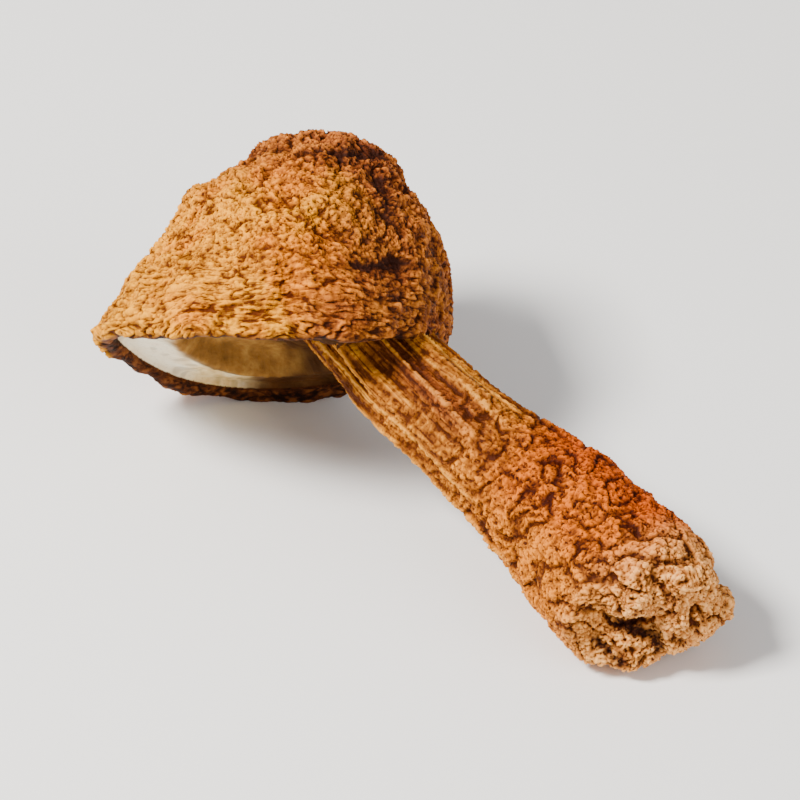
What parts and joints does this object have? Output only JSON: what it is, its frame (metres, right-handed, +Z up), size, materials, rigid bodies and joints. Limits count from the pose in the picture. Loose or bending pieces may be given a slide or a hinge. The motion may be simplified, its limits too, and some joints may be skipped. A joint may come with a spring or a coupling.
{
  "type": "dried mushroom",
  "caption": "Dried almond mushroom lying on its side: a wrinkled bell-shaped cap, a sunken torn veil over gills, and a bent, ridged stem with a knobby butt.",
  "frame": {"origin": "centre of the bounding box's bottom, on the surface that the mushroom lies on", "axes": "+X from the cap to the butt of the stem, +Z up"},
  "size_m": [0.0783, 0.0396, 0.035],
  "materials": {
    "dried_flesh": "dry, wrinkled, golden tan to dark brown"
  },
  "bodies": {
    "root": {"mushroom": "dried_flesh"}
  },
  "joints": []
}
